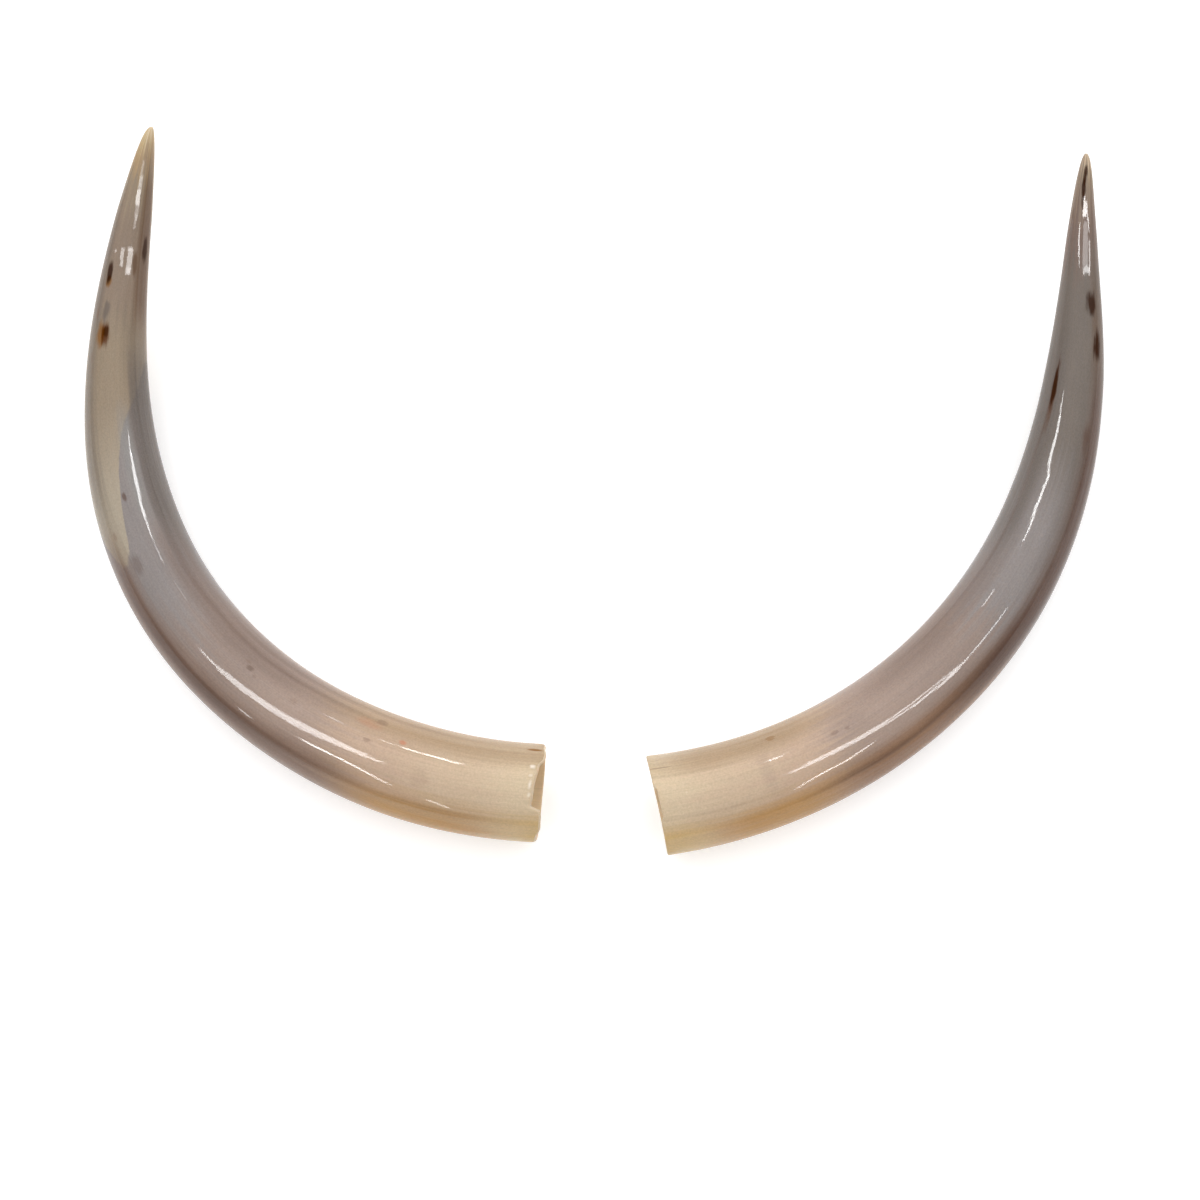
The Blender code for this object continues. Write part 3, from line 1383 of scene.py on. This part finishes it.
RIGHT_POLISH = Keratin(
    name="right_horn_polish",
    length=0.92,
    stops=(
        (0.0, CREAM), (0.08, SAND), (0.155, ROSE_TAN), (0.21, ROSE_GREY), (0.35, MAUVE),
        (0.42, SLATE), (0.50, SLATE), (0.61, TAUPE), (0.77, TAUPE), (0.84, DUSK), (0.88, FAWN),
        (0.905, DUN), (0.92, SAND),
    ),
    bands=(
        Band(TAN, 0.85, (-60.0, 30.0), (0.01, 0.19), 18.0, 0.05),
        Band(DUSK, 0.5, (-48.0, 22.0), (0.24, 0.46), 16.0, 0.06),
        Band(DUSK, 0.6, (58.0, 28.0), (0.32, 0.66), 14.0, 0.06),
        Band(AMBER, 0.95, (69.0, 28.0), (0.045, 0.18), 20.0, 0.05),
        Band(HONEY, 0.9, (68.0, 28.0), (-0.1, 0.04), 16.0, 0.03),
        Band(TOFFEE, 0.9, (64.0, 26.0), (0.175, 0.36), 16.0, 0.05),
        Band(UMBER, 0.95, (51.0, 13.0), (0.31, 0.67), 14.0, 0.06),
        Band(UMBER, 0.5, (47.0, 2.0), (0.16, 0.70), 5.0, 0.05),
        Band(CHESTNUT, 0.5, (44.0, 18.0), (0.68, 0.78), 12.0, 0.04),
        Band(SMOKE, 0.75, (-56.0, 26.0), (0.46, 0.72), 14.0, 0.06),
        Band(SMOKE, 0.45, (27.0, 10.0), (0.46, 0.64), 12.0, 0.06),
        Band(UMBER, 0.3, (-47.0, 1.5), (0.30, 0.65), 4.0, 0.06),
        Band(BROWN, 0.12, (25.0, 1.5), (-0.1, 0.10), 3.0, 0.03),
        Band(FAWN, 0.6, (-66.0, 18.0), (0.86, 0.95), 12.0, 0.02),
    ),
    marks=(
        Mark(UMBER, 0.4, 0.010, -38.0, (0.011, 0.8)),
        Mark(RUST, 0.45, 0.129, -42.0, (0.004, 4.0)),
        Mark(MAUVE, 0.18, 0.113, -2.0, (0.006, 24.0), 0.7),
        Mark(SMOKE, 0.12, 0.212, -12.0, (0.020, 12.0), 0.8),
        Mark(BROWN, 0.4, 0.191, -11.0, (0.004, 3.0)),
        Mark(BROWN, 0.4, 0.204, -9.0, (0.003, 2.5)),
        Mark(DARK_RED, 0.65, 0.650, -42.0, (0.035, 4.5), 0.6),
        Mark(BLACK_BROWN, 0.97, 0.661, -42.5, (0.024, 4.6)),
        Mark(UMBER, 0.65, 0.609, 31.0, (0.014, 6.5), 0.6),
        Mark(BLACK_BROWN, 1.0, 0.711, 38.5, (0.016, 9.0)),
        Mark(BLACK_BROWN, 0.97, 0.757, 21.0, (0.013, 12.5)),
        Mark(CHESTNUT, 0.5, 0.853, -62.0, (0.007, 5.0)),
        Mark(BLACK_BROWN, 0.7, 0.868, -15.0, (0.010, 7.0)),
        Mark(BLACK_BROWN, 0.95, 0.882, -14.0, (0.011, 13.0)),
        Mark(BLACK_BROWN, 0.9, 0.891, -8.0, (0.008, 11.0)),
        Mark(BLACK_BROWN, 0.9, 0.899, -2.0, (0.0065, 15.0)),
        Mark(BONE, 0.6, 0.030, -2.0, (0.0011, 1.1)),
    ),
    seed=7.3,
)

LEFT_GLINTS = (
    Glint("left_tube", glow=17.0, path=(
        (0.155, 6.2, 0.8), (0.172, 5.3, 3.2), (0.200, 4.6, 6.0), (0.225, 5.2, 6.8),
        (0.245, 6.6, 8.0), (0.270, 7.8, 7.2), (0.310, 9.0, 6.2), (0.341, 10.0, 7.0),
        (0.354, 10.3, 3.0), (0.380, 9.9, 1.0),
    )),
    Glint("left_tube_thread", glow=14.0, path=(
        (0.185, 3.2, 0.6), (0.235, 4.6, 0.7), (0.300, 7.2, 0.6), (0.345, 8.8, 0.5),
    )),
    Glint("left_tube_edge", glow=14.0, path=(
        (0.185, 6.2, 0.6), (0.235, 8.6, 0.7), (0.300, 10.6, 0.6), (0.345, 12.2, 0.5),
    )),
    Glint("left_side", path=(
        (0.143, 27.5, 0.8), (0.160, 24.0, 1.3), (0.180, 21.0, 1.5), (0.202, 19.5, 1.9),
        (0.222, 20.5, 1.9), (0.239, 20.2, 1.6),
    )),
    Glint("left_low_near", glow=28.0, path=(
        (0.082, 37.2, 0.9), (0.092, 35.0, 1.3), (0.103, 32.6, 0.9),
    )),
    Glint("left_low_far", glow=12.0, path=((0.296, 33.4, 2.0), (0.312, 33.4, 2.0))),
    Glint("left_inner", glow=32.0, near=0.5, path=(
        (0.079, -16.0, 1.2), (0.092, -17.4, 2.1), (0.108, -18.2, 2.2), (0.119, -18.3, 1.4),
    )),
    Glint("left_inner_middle", glow=28.0, near=0.5, path=(
        (0.124, -18.1, 1.2), (0.133, -18.2, 1.7), (0.142, -18.4, 1.1),
    )),
    Glint("left_inner_end", glow=12.0, near=0.5, path=((0.150, -18.5, 1.0), (0.166, -18.8, 0.8))),
    Glint("left_inner_dash", glow=14.0, near=0.5, path=((0.212, -19.0, 1.4), (0.226, -19.5, 1.2))),
    Glint("left_far_faint", glow=5.0, near=0.2, path=((0.430, -16.6, 0.8), (0.460, -17.4, 1.0))),
    Glint("left_far_dash", glow=12.0, near=0.2, path=((0.483, -17.4, 1.2), (0.503, -18.6, 2.0))),
    Glint("left_far_line", glow=24.0, near=0.2, path=(
        (0.516, -18.6, 1.2), (0.543, -21.0, 3.6), (0.566, -22.2, 3.4), (0.575, -24.6, 4.4),
        (0.592, -24.6, 5.0), (0.608, -26.6, 3.8), (0.625, -26.8, 2.6), (0.645, -29.0, 0.8),
    )),
    Glint("left_tip_pane", glow=14.0, near=0.1, path=((0.832, -29.5, 13.0), (0.862, -26.5, 14.0))),
    Glint("left_tip_pane_near", glow=7.0, near=0.1, path=(
        (0.833, -29.0, 11.0), (0.840, -28.5, 11.0),
    )),
    Glint("left_tip_pane_far", glow=8.0, near=0.1, path=(
        (0.8585, -25.5, 13.0), (0.8635, -24.0, 13.0),
    )),
    Glint("left_tip_second", glow=14.0, near=0.1, path=(
        (0.840, -10.5, 6.0), (0.847, -7.5, 9.0), (0.854, -6.0, 9.5), (0.861, -7.5, 8.5),
    )),
    Glint("left_tip_spot", glow=14.0, near=0.1, path=((0.8545, 13.0, 6.0), (0.857, 13.0, 6.0))),
    Glint("left_tip_streak", glow=7.0, near=0.1, path=(
        (0.884, -28.0, 4.0), (0.898, -29.0, 11.0), (0.912, -27.5, 15.0), (0.944, -23.5, 16.0),
        (0.960, -20.0, 6.0),
    )),
    Glint("left_tip_stripe", glow=6.0, near=0.1, path=((0.894, -29.5, 7.0), (0.900, -29.0, 9.0))),
    Glint("left_tip_bright", glow=15.0, near=0.1, path=(
        (0.910, -27.0, 12.0), (0.916, -25.5, 16.0), (0.928, -23.0, 15.0),
    )),
    Glint("left_tip_bright_end", glow=6.0, near=0.1, path=(
        (0.930, -24.5, 12.0), (0.943, -23.0, 12.0),
    )),
)
RIGHT_GLINTS = (
    Glint("right_tube", glow=17.0, path=(
        (0.134, 9.6, 1.2), (0.150, 8.4, 3.4), (0.172, 7.6, 4.4), (0.200, 8.6, 4.4),
        (0.222, 9.4, 4.8), (0.242, 10.2, 4.0),
    )),
    Glint("right_tube_upper", glow=20.0, path=(
        (0.242, 11.4, 1.8), (0.270, 13.2, 2.0), (0.300, 14.6, 2.6), (0.315, 16.8, 3.2),
        (0.330, 15.8, 2.4), (0.346, 15.0, 1.2),
    )),
    Glint("right_tube_lower", glow=22.0, path=(
        (0.244, 9.0, 1.4), (0.270, 9.8, 1.2), (0.297, 10.1, 0.9),
    )),
    Glint("right_tube_join", glow=18.0, path=(
        (0.301, 10.6, 1.0), (0.315, 13.2, 3.0), (0.330, 14.4, 2.4),
    )),
    Glint("right_tube_end", glow=18.0, path=(
        (0.350, 14.8, 1.8), (0.370, 14.8, 1.8), (0.408, 15.0, 0.9),
    )),
    Glint("right_side", glow=28.0, path=(
        (0.133, 29.6, 0.8), (0.145, 26.6, 1.3), (0.164, 24.4, 1.5), (0.178, 25.0, 1.5),
        (0.196, 23.8, 1.4), (0.217, 21.8, 1.1),
    )),
    Glint("right_inner", glow=24.0, near=0.5, path=((0.117, -13.0, 2.2), (0.131, -13.0, 2.2))),
    Glint("right_inner_dash", glow=16.0, near=0.2, path=((0.393, -12.3, 1.5), (0.416, -12.3, 1.5))),
    Glint("right_far_line", glow=27.0, near=0.2, path=(
        (0.478, -12.0, 0.8), (0.496, -12.6, 2.8), (0.507, -13.0, 3.6), (0.517, -16.2, 3.8),
        (0.530, -15.4, 3.4), (0.544, -14.8, 3.4), (0.556, -13.2, 3.8), (0.569, -18.0, 4.2),
        (0.582, -21.2, 4.0), (0.601, -18.6, 3.4), (0.617, -21.0, 3.4), (0.631, -20.6, 3.4),
        (0.653, -23.8, 0.8),
    )),
    Glint("right_tip_pane", glow=8.0, near=0.1, path=((0.797, 5.0, 20.0), (0.845, 2.0, 17.0))),
    Glint("right_tip_foot", glow=19.0, near=0.1, path=((0.7895, 7.5, 23.0), (0.797, 7.5, 23.0))),
    Glint("right_tip_side", glow=17.0, near=0.1, path=(
        (0.790, 17.5, 4.0), (0.806, 18.5, 4.5), (0.826, 19.0, 5.5),
    )),
    Glint("right_tip_shoulder", glow=25.0, near=0.1, path=(
        (0.834, 18.5, 4.0), (0.845, 15.0, 4.5), (0.853, 10.5, 6.0), (0.866, 4.5, 9.0),
    )),
    Glint("right_tip_head", glow=30.0, near=0.1, path=(
        (0.850, -2.5, 18.0), (0.858, -2.0, 15.0), (0.866, -3.5, 9.0), (0.872, -6.0, 4.0),
    )),
    Glint("right_tip_line", glow=24.0, near=0.1, path=(
        (0.797, -14.5, 2.0), (0.806, -17.0, 3.8), (0.818, -20.2, 4.8), (0.832, -21.0, 5.4),
        (0.843, -20.8, 3.4),
    )),
    Glint("right_tip_apex", glow=8.0, near=0.1, path=((0.868, -15.0, 6.0), (0.870, -18.0, 8.0))),
)


def horn_shape(
    record: dict, mount: str, length: float, cut_skew: float, **rest: object
) -> HornShape:
    """Set a horn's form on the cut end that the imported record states.

    Args:
        record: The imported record.
        mount: Name of the cut end's mount.
        length: Length of the horn along its axis.
        cut_skew: How far the cut is off square, in radians.
        **rest: The other values of the form, by name.

    Returns:
        The form.
    """
    stated = next(item for item in record["mounts"] if item["name"] == mount)
    x, y, _ = stated["pos_m"]
    axis = stated["axis"]
    heading = math.atan2(-axis[1], -axis[0]) - cut_skew
    return HornShape(length=length, start=(x, y), heading=heading, cut_skew=cut_skew, **rest)


def left_horn(record: dict, bare: BareHorn) -> Horn:
    """The longer horn, whose lip stands in over the top and steps out on both sides of it.

    Args:
        record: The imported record.
        bare: The finish of its rim and its hollow.

    Returns:
        The horn.
    """
    shape = horn_shape(
        record,
        "left_cut_end",
        length=1000 * MM,
        cut_skew=math.radians(-2.0),
        bends=(-110, -113, -135, -101, 16),
        radii=(50.0, 50.0, 47.5, 45.5, 41.5, 33.0, 22.5, 0.0),
        tip_rise=125 * MM,
    )
    return Horn(
        name="left_horn_polished",
        node="left_horn",
        hand=Hand.LEFT,
        shape=shape,
        polish=LEFT_POLISH,
        bare=bare,
        saw_line=(
            (-180.0, 2.0), (-110.0, 0.0), (-90.0, -1.5), (-62.0, -4.0), (-44.0, -6.5),
            (-36.0, -6.0), (-27.0, -1.5), (5.0, 1.4), (24.0, 3.0), (28.5, -6.0), (36.0, -7.0),
            (52.0, -6.5), (76.0, -1.5), (90.0, 0.0), (180.0, 2.0),
        ),
        rim_profile=ROUNDED_RIM,
    )


def right_horn(record: dict, bare: BareHorn) -> Horn:
    """The shorter horn, whose lip stands in over the top and whose far half is less even.

    Args:
        record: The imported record.
        bare: The finish of its rim and its hollow.

    Returns:
        The horn.
    """
    shape = horn_shape(
        record,
        "right_cut_end",
        length=920 * MM,
        cut_skew=math.radians(5.0),
        bends=(107, 117, 116, 70, -57),
        radii=(51.0, 49.0, 47.0, 44.5, 40.0, 32.0, 19.5, 0.0),
        tip_rise=110 * MM,
    )
    return Horn(
        name="right_horn_polished",
        node="right_horn",
        hand=Hand.RIGHT,
        shape=shape,
        polish=RIGHT_POLISH,
        bare=bare,
        saw_line=(
            (-180.0, 0.0), (-90.0, -1.0), (-16.0, 0.0), (-9.0, 2.6), (22.0, 3.2), (30.0, 0.0),
            (90.0, -1.0), (180.0, 0.0),
        ),
        lumps=(0.08, 0.08, 0.08, 0.08, 0.08, 0.15, 0.3, 0.3, 0.3, 0.15, 0.02, 0.0, 0.0),
    )


def main() -> None:
    """Load the solids, build both horns over them and set up the studio."""
    logging.basicConfig(level=logging.INFO, format="%(name)s: %(message)s")
    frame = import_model()
    bare = BareHorn("bare_horn")
    left = left_horn(frame["record"], bare)
    right = right_horn(frame["record"], bare)
    for horn in (left, right):
        horn.install()
    Studio(
        glints=((left, LEFT_GLINTS), (right, RIGHT_GLINTS)),
        eye=(0.13457, -0.55198, 1.86361),
        target=(0.014401, -0.11029, 0.0),
        lens=54.0,
    ).set_up()


if __name__ == "__main__":
    main()
